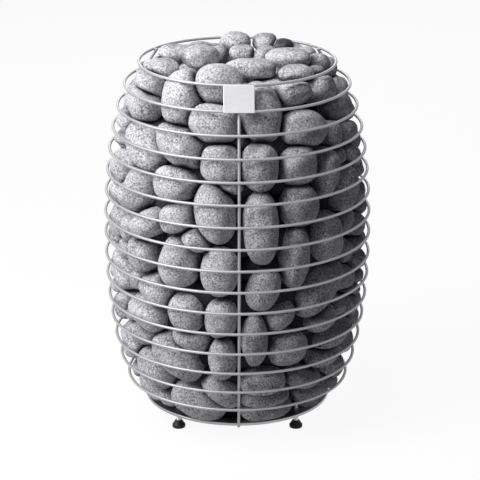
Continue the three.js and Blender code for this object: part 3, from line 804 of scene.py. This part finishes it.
class Stone:
    def __init__(self, centre, axes, half, owner, loose=False):
        self.centre = np.array(centre) * MM
        self.axes = axes
        self.half = np.array(half) * MM
        self.owner = owner
        self.loose = loose
        self.boxiness = BOXINESS[1]
        self.reach = self.half.max() * 1.3

    # 1 on the surface, less inside; a loose stone also fills the way in which it is lifted off
    def depth_of(self, points):
        local = (points - self.centre) @ self.axes / self.half
        if self.loose:
            local[:, 2] = np.minimum(local[:, 2], 0)
        return (np.abs(local) ** self.boxiness).sum(axis=1) ** (1 / self.boxiness)


def course_name(height):
    course = int((height - PILE_FLOOR) // COURSE_HEIGHT)
    return f"stone_course_{min(max(course, 0), COURSE_COUNT - 1) + 1}"


def hides_upright(turn, height, half_width):
    for upright in UPRIGHT_TURNS.values():
        apart = abs((turn - upright + 180) % 360 - 180)
        if math.radians(apart) * wall_radius(height * MM) < half_width * MM:
            return True
    return False


def wall_stone(turn, height, half_width, half_height, lean, back):
    depth = max(STONE_DEPTH_SHARE * (half_width + half_height), LEAST_DEPTH)
    tilt = wall_tilt(height * MM, TILT_STEP * MM)
    clear = WIRE / MM / 2 + WALL_CLEAR + back
    if hides_upright(turn, height, half_width):
        clear += (WIRE + GAP) / MM
    radius = wall_radius(height * MM) / MM - (depth + clear) / math.cos(tilt)
    axes = turn_about(2, turn) @ turn_about(0, -math.degrees(tilt)) @ turn_about(1, -lean)
    half = (half_width * SWELL, depth, half_height * SWELL)
    return Stone(on_circle(radius, turn, height), axes, half, course_name(height))


def heap_stone(x, y, z, along, across, up, heading, owner, loose):
    return Stone((x, y, z), turn_about(2, heading), (along, across, up), owner, loose)


def shown_stones():
    rows = WALL_STONES + [(row[0] + 180, *row[1:]) for row in WALL_STONES] + SIDE_STONES
    stones = [wall_stone(*row) for row in rows]
    stones += [heap_stone(*row, course_name(row[2]), False) for row in BEDDED_STONES]
    stones += [heap_stone(*row, name, True) for name, row in CROWN_STONES.items()]
    return stones


def inner_stones(draws):
    stones = []
    for layer, height in enumerate(range(PILE_FLOOR + INNER_LAYER // 2, INNER_TOP, INNER_LAYER)):
        for depth, count, half in INNER_RINGS:
            radius = wall_radius(height * MM) / MM - depth
            for index in range(count):
                turn = 360 / count * (index + 0.5 * (layer % 2) + draws.uniform(-0.15, 0.15))
                size = np.array(half) * draws.uniform(0.9, 1.08)
                axes = turn_about(2, turn) @ turn_about(1, draws.uniform(-25, 25))
                centre = on_circle(radius, turn, max(height, PILE_FLOOR + size[2]))
                stones.append(Stone(centre, axes, size, course_name(height)))
    return stones


# Soft lumps over a ball: waves of a few seeded directions
def lumps(points, draws, count, waves, height):
    total = np.zeros(len(points))
    for _ in range(count):
        direction = draws.normal(size=3)
        direction = direction / np.linalg.norm(direction) * draws.uniform(0.7, 1.3) * waves
        total += np.cos(points @ direction + draws.uniform(0, 2 * math.pi))
    return height * total / math.sqrt(count)


# How far along each direction a ball reaches before a few worn flat faces stop it
def flats(points, draws):
    reach = np.full(len(points), FARTHEST)
    for _ in range(FLAT_COUNT):
        direction = draws.normal(size=3)
        direction = direction / np.linalg.norm(direction)
        along = np.maximum(points @ direction, 0.3)
        reach = soft_least(reach, draws.uniform(*FLAT_REACH) / along, FLAT_ROUND)
    return reach


def soft_least(first, second, width):
    share = np.clip(0.5 + 0.5 * (second - first) / width, 0, 1)
    return second * (1 - share) + first * share - width * share * (1 - share)


# How far along each line from its centre a stone may reach before it first meets a neighbour half way
def meeting(stone, offsets, neighbour):
    reached = np.full(len(offsets), FARTHEST)
    open_way = np.ones(len(offsets), dtype=bool)
    before = None
    for share in np.linspace(NEAREST, FARTHEST, REACH_STEPS):
        over = share - neighbour.depth_of(stone.centre + offsets * share)
        met = open_way & (over > 0)
        if before is None:
            reached[met] = share
        else:
            back = over[met] / (over[met] - before[met])
            reached[met] = share - back * (FARTHEST - NEAREST) / (REACH_STEPS - 1)
        open_way &= ~met
        before = over
    return reached - CONTACT_GAP / 2 / np.linalg.norm(offsets, axis=1)


# Lowers what stands above the mean of its surroundings, so that steps in a surface become slopes
def eased(values, level, rounds):
    ends = ball_edges(level)
    count = np.bincount(ends.ravel(), minlength=len(values))
    for _ in range(rounds):
        total = np.bincount(ends[:, 0], values[ends[:, 1]], len(values))
        total += np.bincount(ends[:, 1], values[ends[:, 0]], len(values))
        values = np.minimum(values, total / count)
    return values


def pebble(stone, neighbours, level, draws):
    points, faces = ball(level)
    power = (np.abs(points) ** stone.boxiness).sum(axis=1) ** (-1 / stone.boxiness)
    shape = soft_least(power, flats(points, draws), FLAT_ROUND)
    shape = shape * (1 + lumps(points, draws, 5, 2.4, 0.05) + lumps(points, draws, 7, 6, 0.018))
    offsets = (points * shape[:, None] * stone.half) @ stone.axes.T
    share = np.ones(len(points))
    nearest = np.full(len(points), FARTHEST)
    for other in neighbours:
        apart = np.linalg.norm(other.centre - stone.centre)
        if other is stone or apart > stone.reach + other.reach:
            continue
        contact = meeting(stone, offsets, other)
        nearest = np.minimum(nearest, contact)
        share = soft_least(share, contact, CONTACT_ROUND)
    share = eased(share, level, EASE_ROUNDS)
    fine = 1 + lumps(points, draws, 9, 22, 0.0035)
    # painted shade: the closer this point comes to a neighbour, the darker it is painted
    room = (nearest - share) * np.linalg.norm(offsets, axis=1)
    painted_shade = np.clip(1 - room / PAINTED_SHADE_REACH, 0, 1) ** 1.5
    return list(stone.centre + offsets * (share * fine)[:, None]), faces, painted_shade


def make_stones():
    draws = np.random.default_rng(STONE_SEED)
    shown = shown_stones()
    for stone in shown:
        stone.boxiness = draws.uniform(*BOXINESS)
    shown += [wall_stone(*row) for row in GAP_STONES]
    loose = [stone for stone in shown if stone.loose]
    level = 4
    parts = {}
    for stone in shown:
        parts.setdefault(stone.owner, []).append(pebble(stone, shown, level, draws))
    for stone in inner_stones(draws):
        vertices, faces, painted_shade = pebble(stone, loose, 3, draws)
        # painted shade: the hidden inner stones are painted near black all over, so that the gaps between the
        # shown stones look deep in shade
        parts.setdefault(stone.owner, []).append((vertices, faces, np.ones(len(painted_shade))))
    for owner, pebbles in parts.items():
        vertices, faces = joined([part[:2] for part in pebbles])
        body = owner if owner in CROWN_STONES else "stove"
        name = owner.replace("stone_course", "pebbles_course").replace("crown_stone", "loose_pebble")
        piece = add_piece(name, body, "stone", vertices, faces, None, [owner])
        # stores the painted shade for each point
        layer = piece.data.attributes.new(PAINTED_SHADE_ATTRIBUTE, "FLOAT", "POINT")
        layer.data.foreach_set("value", np.concatenate([part[2] for part in pebbles]).astype(np.float32))


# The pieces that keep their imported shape
def dress_plain_nodes():
    slots = {row["node"]: row["material_slot"] for row in frame["record"]["subparts"]}
    for name, node in frame["nodes"].items():
        if not node.hide_render:
            node.data.materials.clear()
            node.data.materials.append(MATERIALS[slots[name]])


make_studio()
make_cage()
make_front_plate()
make_base()
make_feet()
make_stones()
dress_plain_nodes()
